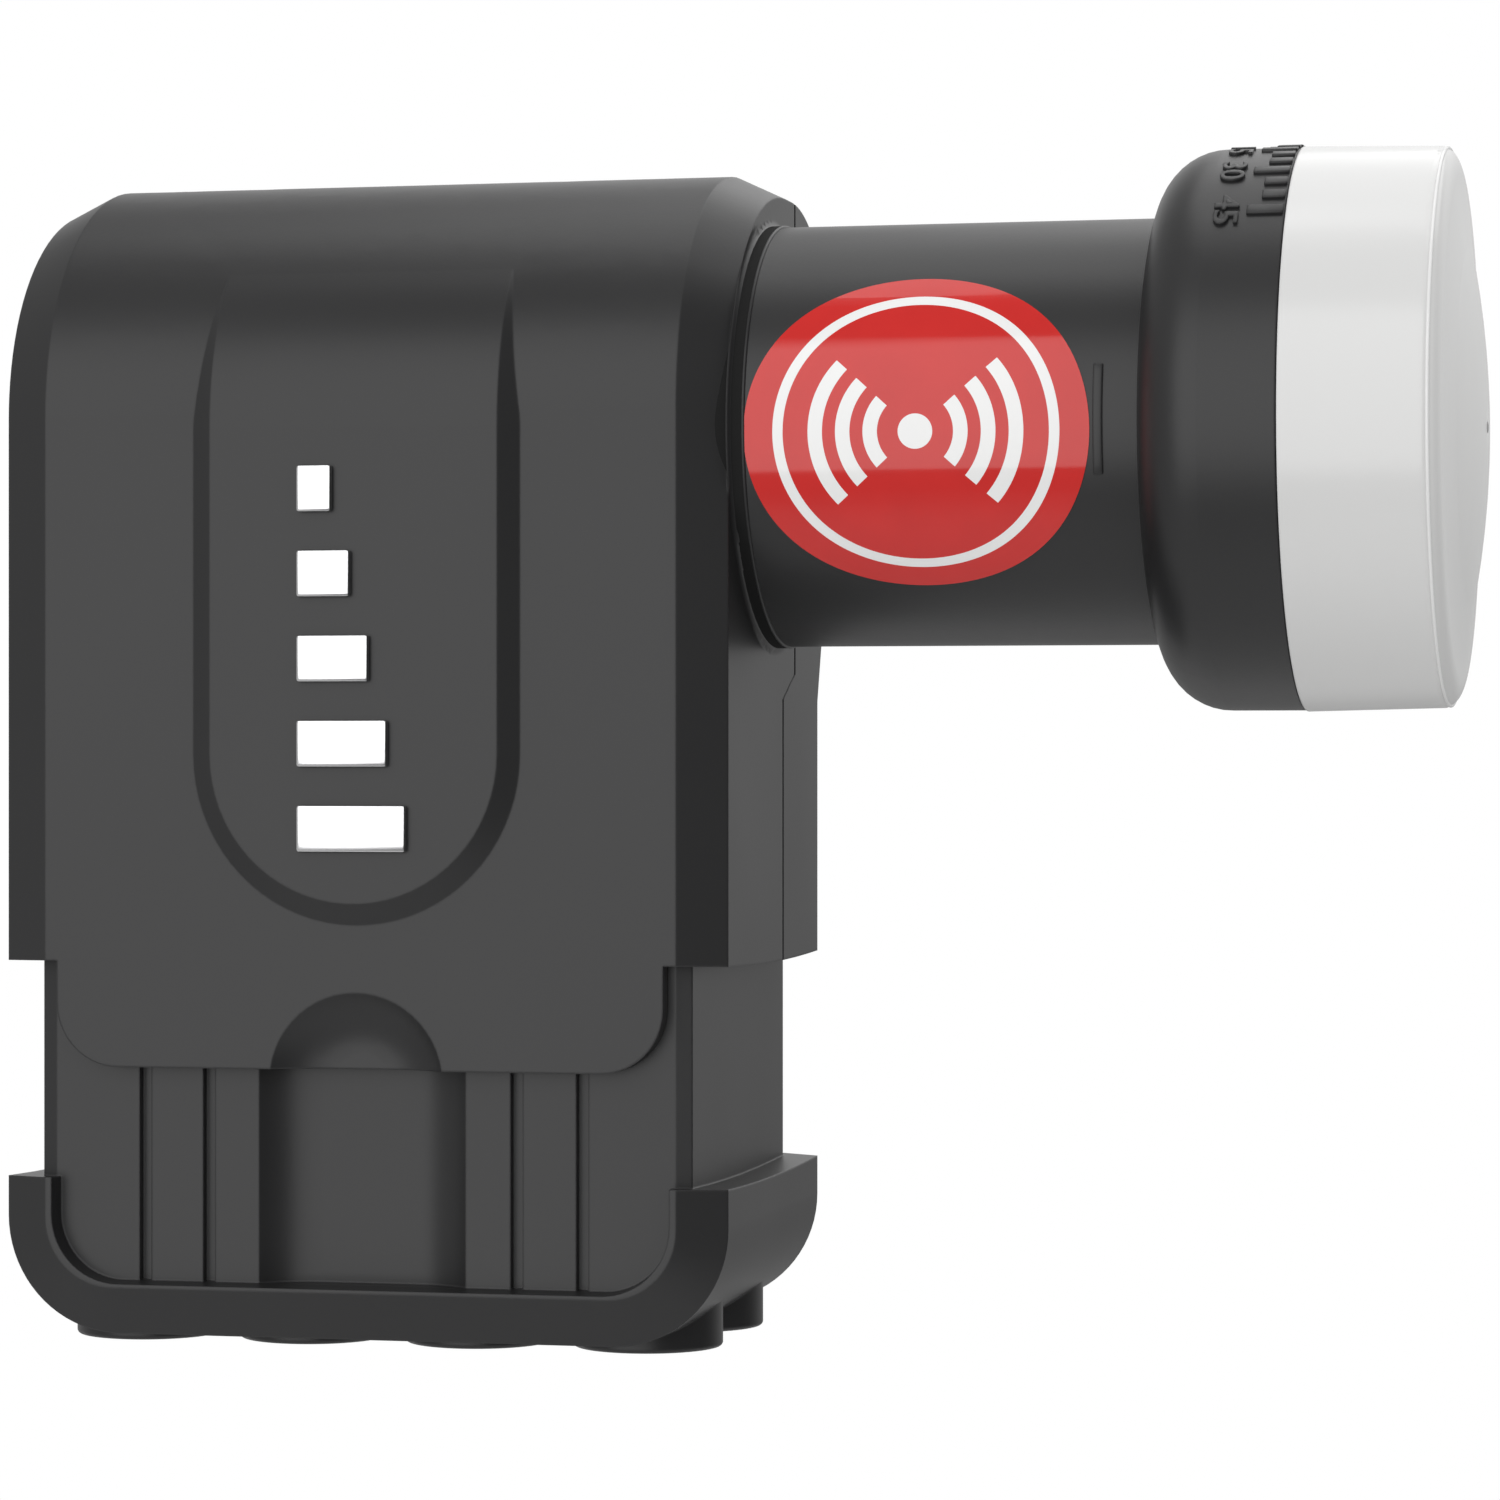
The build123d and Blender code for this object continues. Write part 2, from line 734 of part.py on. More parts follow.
def circuit_board(side):
    """Board on the chamber's posts, below the waveguide."""
    bottom = chamber_floor + board_gap
    with BuildPart() as board:
        with BuildSketch(Plane.XZ.offset(side * board_inner)):
            with Locations((body_mid, bottom)):
                Rectangle(
                    2 * (chamber_inner_length - board_gap),
                    board_top - bottom,
                    align=(Align.CENTER, Align.MIN),
                )
        extrude(amount=side * board_thickness)
    return board


for side_name, side in (("front", 1), ("rear", -1)):
    save(chamber_plate(side, chamber_half_depth, seal_thickness, True), f"{side_name}_lid_seal")
    save(chamber_plate(side, lid_inner, lid_thickness, False), f"{side_name}_lid")
    save(circuit_board(side), f"{side_name}_board")

with BuildPart() as lid_screws:
    for turn in (90, -90):
        lid_face = lid_outer if turn == -90 else -lid_outer
        with Locations([(x, lid_face, z) for x, z in screw_spots]):
            Cylinder(
                screw_head_radius,
                screw_head_height,
                rotation=(turn, 0, 0),
                align=(Align.CENTER, Align.CENTER, Align.MIN),
            )
            Cylinder(
                screw_radius,
                screw_depth,
                rotation=(turn, 0, 0),
                align=(Align.CENTER, Align.CENTER, Align.MAX),
            )
save(lid_screws, "lid_screws")

# Probes that pick the two polarisations out of the waveguide, each bent over to its board
probe_y = guide_radius + probe_bend + press_gap
with BuildPart() as horizontal_probe:
    with BuildLine() as route:
        FilletPolyline(
            (horizontal_probe_x, -probe_tip, 0),
            (horizontal_probe_x, -probe_y, 0),
            (horizontal_probe_x, -probe_y, board_top - probe_board_overlap),
            radius=probe_bend,
        )
    with BuildSketch(Plane(origin=route.line @ 0, z_dir=route.line % 0)):
        Circle(probe_radius)
    sweep()
save(horizontal_probe, "horizontal_probe")

probe_z = (board_top + web_top) / 2
with BuildPart() as vertical_probe:
    with BuildLine() as route:
        FilletPolyline(
            (vertical_probe_x, 0, -probe_tip),
            (vertical_probe_x, 0, probe_z),
            (vertical_probe_x, board_inner - board_gap, probe_z),
            radius=probe_bend,
        )
    with BuildSketch(Plane(origin=route.line @ 0, z_dir=route.line % 0)):
        Circle(probe_radius)
    sweep()
save(vertical_probe, "vertical_probe")

with BuildPart() as horizontal_bead:
    with BuildSketch(Plane.XZ.offset(guide_bore_radius)):
        with Locations((horizontal_probe_x, 0)):
            Circle(bead_radius)
            Circle(probe_radius + press_gap, mode=Mode.SUBTRACT)
    extrude(amount=guide_wall)
save(horizontal_bead, "horizontal_bead")

with BuildPart() as vertical_bead:
    with BuildSketch(Plane.XY.offset(-guide_radius)):
        with Locations((vertical_probe_x, 0)):
            Circle(bead_radius)
            Circle(probe_radius + press_gap, mode=Mode.SUBTRACT)
    extrude(amount=guide_wall)
save(vertical_bead, "vertical_bead")

with BuildPart() as isolation_pin:
    with Locations((isolation_pin_x, 0, 0)):
        Cylinder(isolation_pin_radius, 2 * guide_radius, rotation=along_y)
save(isolation_pin, "isolation_pin")

# Eight F connectors in the chamber's floor, counted along the front row and then along the rear one
shank_top = chamber_floor - press_gap
contact_bottom = thread_tip + 2 * insulator_recess
for number, (port_x, port_row_y) in enumerate(port_spots, start=1):
    with BuildPart() as connector:
        with Locations((port_x, port_row_y, thread_tip)):
            Cylinder(
                thread_radius,
                thread_length,
                align=(Align.CENTER, Align.CENTER, Align.MIN),
            )
        chamfer(connector.edges().group_by(Axis.Z)[0], thread_tip_chamfer)
        with Locations((port_x, port_row_y, flange_bottom)):
            Cylinder(
                port_flange_radius,
                port_flange_height,
                align=(Align.CENTER, Align.CENTER, Align.MIN),
            )
            Cylinder(
                port_shank_radius,
                shank_top - flange_bottom,
                align=(Align.CENTER, Align.CENTER, Align.MIN),
            )
        with Locations((port_x, port_row_y, thread_tip)):
            Cylinder(
                insulator_radius + press_gap,
                shank_top - thread_tip,
                align=(Align.CENTER, Align.CENTER, Align.MIN),
                mode=Mode.SUBTRACT,
            )
    save(connector, f"f_connector_{number}")

    with BuildPart() as insulator:
        with Locations((port_x, port_row_y, shank_top)):
            Cylinder(
                insulator_radius,
                shank_top - thread_tip - insulator_recess,
                align=(Align.CENTER, Align.CENTER, Align.MAX),
            )
            Cylinder(
                contact_radius + press_gap,
                shank_top - thread_tip,
                align=(Align.CENTER, Align.CENTER, Align.MAX),
                mode=Mode.SUBTRACT,
            )
    save(insulator, f"connector_insulator_{number}")

    with BuildPart() as contact:
        with Locations((port_x, port_row_y, contact_bottom)):
            Cylinder(
                contact_radius,
                shank_top - contact_bottom,
                align=(Align.CENTER, Align.CENTER, Align.MIN),
            )
            Cylinder(
                contact_tail_radius,
                shank_top - contact_bottom + contact_tail_length,
                align=(Align.CENTER, Align.CENTER, Align.MIN),
            )
    save(contact, f"connector_contact_{number}")
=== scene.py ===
# %% [markdown]
# # A satellite receiver with a sliding weather cover
# The part hangs in the clamp of a dish's arm and looks at the dish through its white cap. Its cables screw
# on from below, and the lower half is a cover that slides up out of the way and down again over the plugs.
# The solids are already modelled to size, so this lesson dresses them: finishes, the print on the neck,
# the scale on the collar, the trim on the front and the threads that the solids leave plain.

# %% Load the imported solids
import json
from math import cos, pi, radians, sin

import bmesh
import bpy
from mathutils import Matrix, Vector


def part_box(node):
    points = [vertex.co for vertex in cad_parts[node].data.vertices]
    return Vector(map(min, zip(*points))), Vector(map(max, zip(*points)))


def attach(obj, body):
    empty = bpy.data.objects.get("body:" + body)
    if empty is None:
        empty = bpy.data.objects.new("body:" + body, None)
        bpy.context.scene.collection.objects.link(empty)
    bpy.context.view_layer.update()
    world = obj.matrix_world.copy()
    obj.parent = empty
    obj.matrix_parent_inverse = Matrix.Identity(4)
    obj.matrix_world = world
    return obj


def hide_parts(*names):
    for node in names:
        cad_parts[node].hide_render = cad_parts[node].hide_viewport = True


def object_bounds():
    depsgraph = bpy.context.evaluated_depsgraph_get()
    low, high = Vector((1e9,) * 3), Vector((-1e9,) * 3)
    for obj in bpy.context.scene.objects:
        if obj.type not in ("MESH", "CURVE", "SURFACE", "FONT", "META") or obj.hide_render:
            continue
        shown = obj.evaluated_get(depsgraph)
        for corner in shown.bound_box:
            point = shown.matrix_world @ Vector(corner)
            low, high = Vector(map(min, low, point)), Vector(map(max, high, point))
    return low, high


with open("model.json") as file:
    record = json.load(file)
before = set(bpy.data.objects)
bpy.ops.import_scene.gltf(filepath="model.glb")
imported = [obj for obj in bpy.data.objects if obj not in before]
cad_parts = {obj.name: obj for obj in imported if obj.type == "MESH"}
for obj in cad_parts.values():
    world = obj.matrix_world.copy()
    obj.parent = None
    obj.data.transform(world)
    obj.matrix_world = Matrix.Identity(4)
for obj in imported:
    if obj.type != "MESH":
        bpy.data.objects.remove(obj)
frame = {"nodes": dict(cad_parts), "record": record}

MM = 0.001
cad_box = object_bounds()
mounts = {mount["name"]: mount for mount in frame["record"]["mounts"]}
print("box in mm:", [[round(value / MM, 2) for value in corner] for corner in cad_box])

# %% [markdown]
# ## Sizes that the dressing needs
# Everything that sits on a solid takes its place from that solid: the neck's radius comes from the clamp's
# mount, and the collar, the cap and the connectors from their boxes. These numbers could be typed in, but
# then they would be wrong as soon as a solid changes. Only sizes that no solid gives are written as
# numbers, in millimetres.

# %% Read the places of the neck, collar, cap and connectors
neck_radius = mounts["clamp_neck"]["dims"]["r_mm"] * MM
thread_radius = mounts["port_1"]["dims"]["r_mm"] * MM
shell_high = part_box("front_shell")[1]
cap_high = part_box("feed_cap")[1]
rear_low, rear_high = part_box("rear_shell")
collar_radius = shell_high.z
collar_front = shell_high.x
body_middle = (rear_low.x + rear_high.x) / 2
print("neck", neck_radius / MM, "collar", collar_radius / MM, "body middle", body_middle / MM)

# %% [markdown]
# ## A shared skin for moulded and cast surfaces
# Plastic, rubber and cast metal differ in colour and gloss, but share three things: a fine grain from the
# mould, a faint unevenness over a hand's width, and edges that are never quite sharp. Each material could
# have its own nodes for them. They are one node group with named inputs instead, so each material places it
# with its own values. The Bevel node rounds the edges in the shading alone, and the difference between its
# normal and the true one marks where the edges are. There the group also lightens the colour: a painted
# highlight for the light that the rounded edges would catch.

# %% Name the group's sockets
skin_inputs = (
    ("Colour", "NodeSocketColor", (0.5, 0.5, 0.5, 1.0)),
    ("Roughness", "NodeSocketFloat", 0.5),
    ("Grain Scale", "NodeSocketFloat", 2500.0),
    ("Grain Depth", "NodeSocketFloat", 0.00001),
    ("Mottle", "NodeSocketFloat", 0.04),
    ("Edge Radius", "NodeSocketFloat", 0.0003),
    # painted highlight: how much lighter the colour is made along edges
    ("Edge Lift", "NodeSocketFloat", 0.25),
)
skin_outputs = (
    ("Colour", "NodeSocketColor"),
    ("Roughness", "NodeSocketFloat"),
    ("Normal", "NodeSocketVector"),
)
skin_group = bpy.data.node_groups.new("moulded_skin", "ShaderNodeTree")
for name, kind, start in skin_inputs:
    skin_group.interface.new_socket(name=name, in_out="INPUT", socket_type=kind).default_value = start
for name, kind in skin_outputs:
    skin_group.interface.new_socket(name=name, in_out="OUTPUT", socket_type=kind)
print(skin_group.name, "takes", len(skin_inputs), "values and gives", len(skin_outputs))

# %% Fill the group with nodes
grain_detail = 3.0
cloud_scale = 28.0
cloud_detail = 2.0
cloud_range = (0.2, 0.8)
gloss_range = (0.94, 1.06)
bevel_samples = 6
edge_agreement = (0.995, 0.9)


def link(tree, source, target):
    """Join two sockets of one tree."""
    tree.links.new(source, target)


def math_node(tree, operation, first, second=None):
    """A Math node whose inputs are sockets or numbers, given back as its output socket."""
    node = tree.nodes.new("ShaderNodeMath")
    node.operation = operation
    for slot_index, value in enumerate((first, second)):
        if isinstance(value, bpy.types.NodeSocket):
            link(tree, value, node.inputs[slot_index])
        elif value is not None:
            node.inputs[slot_index].default_value = value
    return node.outputs[0]


def spread(tree, value, low, high, to_low, to_high):
    """A Map Range node from low..high to to_low..to_high, given back as its output socket."""
    node = tree.nodes.new("ShaderNodeMapRange")
    link(tree, value, node.inputs["Value"])
    for name, number in (("From Min", low), ("From Max", high), ("To Min", to_low), ("To Max", to_high)):
        if isinstance(number, bpy.types.NodeSocket):
            link(tree, number, node.inputs[name])
        else:
            node.inputs[name].default_value = number
    return node.outputs["Result"]


def fill_skin(group):
    """Grain, mottling, softened edges and a painted edge highlight, as colour, roughness and normal."""
    given = group.nodes.new("NodeGroupInput").outputs
    put_out = group.nodes.new("NodeGroupOutput").inputs
    place = group.nodes.new("ShaderNodeTexCoord").outputs["Object"]

    grain = group.nodes.new("ShaderNodeTexNoise")
    grain.inputs["Detail"].default_value = grain_detail
    link(group, place, grain.inputs["Vector"])
    link(group, given["Grain Scale"], grain.inputs["Scale"])
    cloud = group.nodes.new("ShaderNodeTexNoise")
    cloud.inputs["Scale"].default_value = cloud_scale
    cloud.inputs["Detail"].default_value = cloud_detail
    link(group, place, cloud.inputs["Vector"])

    soft_edge = group.nodes.new("ShaderNodeBevel")
    soft_edge.samples = bevel_samples
    link(group, given["Edge Radius"], soft_edge.inputs["Radius"])
    true_normal = group.nodes.new("ShaderNodeNewGeometry").outputs["Normal"]
    agreement = group.nodes.new("ShaderNodeVectorMath")
    agreement.operation = "DOT_PRODUCT"
    link(group, soft_edge.outputs["Normal"], agreement.inputs[0])
    link(group, true_normal, agreement.inputs[1])
    edge = spread(group, agreement.outputs["Value"], *edge_agreement, 0.0, 1.0)

    darkest = math_node(group, "SUBTRACT", 1.0, given["Mottle"])
    lightest = math_node(group, "ADD", 1.0, given["Mottle"])
    mottle = spread(group, cloud.outputs["Fac"], *cloud_range, darkest, lightest)
    # painted highlight: the colour is made lighter where the Bevel mask finds an edge
    lift = math_node(group, "MULTIPLY_ADD", edge, given["Edge Lift"])
    lift.node.inputs[2].default_value = 1.0
    shade = group.nodes.new("ShaderNodeHueSaturation")
    link(group, given["Colour"], shade.inputs["Color"])
    link(group, math_node(group, "MULTIPLY", mottle, lift), shade.inputs["Value"])
    link(group, shade.outputs["Color"], put_out["Colour"])

    uneven = spread(group, cloud.outputs["Fac"], *cloud_range, *gloss_range)
    link(group, math_node(group, "MULTIPLY", given["Roughness"], uneven), put_out["Roughness"])

    bump = group.nodes.new("ShaderNodeBump")
    link(group, given["Grain Depth"], bump.inputs["Distance"])
    link(group, grain.outputs["Fac"], bump.inputs["Height"])
    link(group, soft_edge.outputs["Normal"], bump.inputs["Normal"])
    link(group, bump.outputs["Normal"], put_out["Normal"])


fill_skin(skin_group)
print("group", skin_group.name, "with", len(skin_group.nodes), "nodes")

# %% [markdown]
# ## Finishes of the solids
# The housing is a satin, dark grey weatherproof plastic, and the cap is white so that the sun doesn't heat
# the feed. Inside sit a die-cast feed, rolled lids, green boards and bright brass, and the connectors are
# nickel plated. A flat colour would look like paint, so each finish gets the shared skin. A number that is
# the same all over a surface is set on the shader's own socket, and only what changes over the surface comes
# from the group.

# %% Make a material from the skin
def shader_of(material):
    """The material's Principled BSDF."""
    return material.node_tree.nodes["Principled BSDF"]


def skin_material(name, colour, roughness, metallic=0.0, specular=0.5, **skin):
    """A material whose colour, roughness and normal come from the shared skin."""
    material = bpy.data.materials.new(name)
    material.use_nodes = True
    tree = material.node_tree
    shader = shader_of(material)
    shader.inputs["Metallic"].default_value = metallic
    shader.inputs["Specular IOR Level"].default_value = specular
    surface = tree.nodes.new("ShaderNodeGroup")
    surface.node_tree = skin_group
    surface.inputs["Colour"].default_value = (*colour, 1.0)
    surface.inputs["Roughness"].default_value = roughness
    for socket, value in skin.items():
        surface.inputs[socket.replace("_", " ").title()].default_value = value
    link(tree, surface.outputs["Colour"], shader.inputs["Base Color"])
    link(tree, surface.outputs["Roughness"], shader.inputs["Roughness"])
    link(tree, surface.outputs["Normal"], shader.inputs["Normal"])
    return material


# the housing's edges get a strong painted highlight: a lighter colour where light would catch them
housing_plastic = skin_material(
    "dark_housing_plastic", (0.014, 0.014, 0.0145), 0.38, edge_lift=0.7, grain_depth=0.000006
)
print(housing_plastic.name, "has", len(housing_plastic.node_tree.nodes), "nodes")

# %% Make the other finishes and give them to the solids
finishes = {
    "shell_plastic": housing_plastic,
    "cap_plastic": skin_material(
        "white_cap_plastic",
        (0.59, 0.59, 0.585),
        0.2,
        specular=0.7,
        mottle=0.01,
        edge_lift=0.02,
        grain_depth=0.000004,
    ),
    "cast_aluminium": skin_material(
        "cast_aluminium", (0.60, 0.61, 0.62), 0.5, metallic=1.0, grain_scale=1400.0, grain_depth=0.00003
    ),
    "lid_aluminium": skin_material("rolled_aluminium", (0.68, 0.69, 0.70), 0.32, metallic=1.0, mottle=0.02),
    "seal_rubber": skin_material("seal_rubber", (0.008, 0.008, 0.008), 0.8, specular=0.2),
    "board_laminate": skin_material("board_laminate", (0.02, 0.12, 0.05), 0.35, mottle=0.1),
    "screw_steel": skin_material("plated_screw_steel", (0.58, 0.58, 0.57), 0.3, metallic=1.0),
    "brass": skin_material("bright_brass", (0.72, 0.50, 0.19), 0.22, metallic=1.0, edge_radius=0.0001),
    "connector_plating": skin_material(
        "nickel_plating", (0.66, 0.63, 0.58), 0.24, metallic=1.0, edge_radius=0.0001, grain_depth=0.000002
    ),
    "insulator_plastic": skin_material("insulator_plastic", (0.78, 0.77, 0.72), 0.4, edge_radius=0.0001),
}
slot_of_node = {row["node"]: row["material_slot"] for row in frame["record"]["subparts"]}
for node_name, solid in frame["nodes"].items():
    solid.data.materials.clear()
    solid.data.materials.append(finishes[slot_of_node[node_name]])
print("finishes:", ", ".join(material.name for material in finishes.values()))

# %% [markdown]
# ## The print on the label
# The neck carries a red label with white print. Here the print is generic, a ring and a broadcast sign of
# dot and arcs. It could be an image, but a few Math nodes draw it sharp at any size: they ask how far a
# point lies from the label's middle, and in which direction. They read the label's own UV map, where one
# unit is the label's width, so that the print bends with the film.

# %% Draw the print
print_map_name = "label_print"
dot_radius = 0.05
arc_radii = (0.11, 0.19, 0.27)
arc_width = 0.042
arc_spread = radians(42)
ring_band = (0.385, 0.415)
fade_scale = 6.0
label_reds = ((0.465, 0.012, 0.010), (0.54, 0.016, 0.013))
label_white = (0.73, 0.73, 0.725)


def between(tree, value, low, high):
    """1 where value lies between two numbers, else 0."""
    above = math_node(tree, "GREATER_THAN", value, low)
    below = math_node(tree, "LESS_THAN", value, high)
    return math_node(tree, "MULTIPLY", above, below)


def label_material():
    """Red film with a white ring and broadcast sign, under a clear gloss."""
    material = bpy.data.materials.new("printed_label_film")
    material.use_nodes = True
    tree = material.node_tree
    shader = shader_of(material)
    shader.inputs["Roughness"].default_value = 0.1
    shader.inputs["Specular IOR Level"].default_value = 0.65
    flat = tree.nodes.new("ShaderNodeUVMap")
    flat.uv_map = print_map_name
    centred = tree.nodes.new("ShaderNodeVectorMath")
    centred.operation = "SUBTRACT"
    centred.inputs[1].default_value = (0.5, 0.5, 0.0)
    link(tree, flat.outputs["UV"], centred.inputs[0])
    reach = tree.nodes.new("ShaderNodeVectorMath")
    reach.operation = "LENGTH"
    link(tree, centred.outputs["Vector"], reach.inputs[0])
    distance = reach.outputs["Value"]
    parts = tree.nodes.new("ShaderNodeSeparateXYZ")
    link(tree, centred.outputs["Vector"], parts.inputs["Vector"])
    height = math_node(tree, "ABSOLUTE", parts.outputs["Y"])
    slope = math_node(tree, "DIVIDE", height, distance)
    sideways = math_node(tree, "LESS_THAN", slope, sin(arc_spread))

    ink = math_node(tree, "LESS_THAN", distance, dot_radius)
    for inner in arc_radii:
        arc = math_node(tree, "MULTIPLY", between(tree, distance, inner, inner + arc_width), sideways)
        ink = math_node(tree, "MAXIMUM", ink, arc)
    ink = math_node(tree, "MAXIMUM", ink, between(tree, distance, *ring_band))

    fade = tree.nodes.new("ShaderNodeTexNoise")
    fade.inputs["Scale"].default_value = fade_scale
    link(tree, flat.outputs["UV"], fade.inputs["Vector"])
    red = tree.nodes.new("ShaderNodeMix")
    red.data_type = "RGBA"
    red.inputs["A"].default_value = (*label_reds[0], 1.0)
    red.inputs["B"].default_value = (*label_reds[1], 1.0)
    link(tree, fade.outputs["Fac"], red.inputs["Factor"])
    colour = tree.nodes.new("ShaderNodeMix")
    colour.data_type = "RGBA"
    colour.inputs["B"].default_value = (*label_white, 1.0)
    link(tree, ink, colour.inputs["Factor"])
    link(tree, red.outputs["Result"], colour.inputs["A"])
    link(tree, colour.outputs["Result"], shader.inputs["Base Color"])
    return material


label_film_print = label_material()
print(label_film_print.name, "has", len(label_film_print.node_tree.nodes), "nodes")

# %% [markdown]
# ## The round label on the neck
# The label is a glossy film, 32 mm wide and a little lower, stuck round the neck. A modifier could press a
# disc onto the neck, but then the print would stretch. Here the disc starts flat, gets cuts across it so that
# it can bend, and is wrapped on the cylinder. Like every new piece it is shaped in a bmesh, gets one mesh and
# one object at the origin, rides on the body that carries it and takes a finish.

# %% Wrap the label
label_radius = 16.0 * MM
label_squash = 0.97
label_x = -1.43 * MM
label_angle = radians(-2.6)
label_film = 0.08 * MM
label_sides = 128
label_cuts = 28


def make_piece(name, bm, body, material, smooth_angle=30.0):
    """Close the bmesh into an object that rides on a body."""
    bmesh.ops.remove_doubles(bm, verts=bm.verts, dist=1e-7)
    bmesh.ops.recalc_face_normals(bm, faces=bm.faces)
    mesh = bpy.data.meshes.new(name)
    bm.to_mesh(mesh)
    bm.free()
    mesh.shade_smooth()
    mesh.set_sharp_from_angle(angle=radians(smooth_angle))
    mesh.materials.append(material)
    piece = bpy.data.objects.new(name, mesh)
    bpy.context.scene.collection.objects.link(piece)
    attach(piece, body)
    print(name, "faces:", len(mesh.polygons))
    return piece


def wrap(verts, radius, at_x, at_angle):
    """Bend flat work round the feed axis: x stays along it, y runs round it and z stands off."""
    for vert in verts:
        along, round_it, off = vert.co
        angle = at_angle + round_it / radius
        vert.co = (at_x + along, -(radius + off) * cos(angle), (radius + off) * sin(angle))


bm = bmesh.new()
bmesh.ops.create_circle(bm, cap_ends=True, segments=label_sides, radius=label_radius)
bmesh.ops.scale(bm, verts=bm.verts, vec=(1, label_squash, 1))
for cut in range(1, label_cuts):
    level = label_squash * label_radius * (2 * cut / label_cuts - 1)
    everything = bm.verts[:] + bm.edges[:] + bm.faces[:]
    bmesh.ops.bisect_plane(bm, geom=everything, plane_co=(0, level, 0), plane_no=(0, 1, 0))
bmesh.ops.solidify(bm, geom=bm.faces[:], thickness=-label_film)
print_map = bm.loops.layers.uv.new(print_map_name)
for face in bm.faces:
    for corner in face.loops:
        flat_x, flat_y, _ = corner.vert.co
        corner[print_map].uv = (flat_x / label_radius / 2 + 0.5, flat_y / label_radius / 2 + 0.5)
lift_off = -min(vert.co.z for vert in bm.verts)
bmesh.ops.translate(bm, verts=bm.verts, vec=(0, 0, lift_off))
wrap(bm.verts, neck_radius, label_x, label_angle)
make_piece("neck_label", bm, "housing", label_film_print)

# %% [markdown]
# ## The trim on the front panel
# The raised panel carries bright trim. Here it is a generic row of bars that grow like a signal meter,
# running down the panel. It could be drawn by the material, but real bars catch the light on their edges, so
# each one is a small bevelled bar with a mirror finish.

# %% Set the bars on the panel
panel_face = -22.8 * MM
bar_height = 0.8 * MM
bar_width = 4.4 * MM
bar_foot = body_middle - 5.25 * MM
bar_lengths = (3.4 * MM, 5.2 * MM, 7.0 * MM, 8.8 * MM, 10.6 * MM)
bar_top = -5.6 * MM
bar_pitch = 7.9 * MM
bar_edge = 0.3 * MM


def bevelled_bar(bm, size, centre, edge):
    """A small moulded bar with rounded edges, given back as its vertices."""
    placed = Matrix.Translation(centre) @ Matrix.Diagonal((*size, 1.0))
    made = bmesh.ops.create_cube(bm, size=1.0, matrix=placed)
    edges = list({e for vert in made["verts"] for e in vert.link_edges})
    rounded = bmesh.ops.bevel(
        bm, geom=edges, offset=edge, segments=2, profile=0.5, affect="EDGES", material=-1
    )
    return list({vert for face in rounded["faces"] for vert in face.verts})


trim_metal = skin_material(
    "bright_trim_metal",
    (0.82, 0.82, 0.83),
    0.12,
    metallic=1.0,
    mottle=0.01,
    edge_radius=0.0001,
    grain_depth=0.0,
)
bm = bmesh.new()
for index, length in enumerate(bar_lengths):
    centre = Vector((bar_foot + length / 2, panel_face - bar_height / 2, bar_top - index * bar_pitch))
    bevelled_bar(bm, (length, bar_height, bar_width), centre, bar_edge)
make_piece("panel_trim_bars", bm, "housing", trim_metal)

# %% [markdown]
# ## The skew scale on the collar
# Whoever mounts the receiver turns it in its clamp and reads the angle on the collar. The marks are moulded
# with the shell: a raised line every five degrees, longer ones every fifteen, and small numbers beside
# those. A bump in the material would vanish at the collar's outline, so they are real relief. Each mark is
# made lying flat and then wrapped round the collar at its own angle.

# %% Mould the marks and numbers
mark_end = collar_front - 0.13 * MM
mark_lengths = {True: 3.3 * MM, False: 2.1 * MM}
mark_width = 1.15 * MM
mark_height = 0.28 * MM
mark_edge = 0.06 * MM
number_height = 3.15 * MM
number_stretch = 1.35
number_middle = collar_front - 5.4 * MM
number_stand = 0.28 * MM
number_weight = 0.05 * MM
scale_step = 5
scale_end = 45
number_step = 15


def number_mesh(text):
    """Raised digits as a mesh, flat in the XY plane and centred."""
    curve = bpy.data.curves.new("scale_number", "FONT")
    curve.body = text
    curve.size = number_height
    curve.extrude = number_stand
    curve.offset = number_weight
    curve.resolution_u = 3
    curve.align_x = "CENTER"
    curve.align_y = "CENTER"
    written = bpy.data.objects.new("scale_number", curve)
    bpy.context.scene.collection.objects.link(written)
    bpy.context.view_layer.update()
    mesh = bpy.data.meshes.new_from_object(written.evaluated_get(bpy.context.evaluated_depsgraph_get()))
    bpy.data.objects.remove(written)
    return mesh


def collar_angle(degrees):
    """Angle for wrap() of a mark that lies so many degrees from the top towards the front."""
    return radians(90 - degrees)


bm = bmesh.new()
for degrees in range(-scale_end, scale_end + 1, scale_step):
    length = mark_lengths[degrees % number_step == 0]
    verts = bevelled_bar(bm, (length, mark_width, 2 * mark_height), Vector((-length / 2, 0, 0)), mark_edge)
    wrap(verts, collar_radius, mark_end, collar_angle(degrees))
for degrees in range(-scale_end, scale_end + 1, number_step):
    if degrees:
        digits = bmesh.new()
        digits.from_mesh(number_mesh(str(abs(degrees))))
        bmesh.ops.scale(digits, verts=digits.verts, vec=(number_stretch, 1, 1))
        quarter_turn = Matrix.Rotation(radians(-90), 3, "Z")
        bmesh.ops.rotate(digits, verts=digits.verts, cent=(0, 0, 0), matrix=quarter_turn)
        wrap(digits.verts, collar_radius, number_middle, collar_angle(degrees))
        joined = bpy.data.meshes.new("scale_number")
        digits.to_mesh(joined)
        digits.free()
        bm.from_mesh(joined)
make_piece("collar_scale", bm, "housing", finishes["shell_plastic"])

# %% [markdown]
# ## The line on the neck
# A short raised bar runs round the front of the neck beside the label. It shows how far the clamp should
# reach along the neck. It is a bar like those of the scale, cut across so that it can bend, and wrapped.

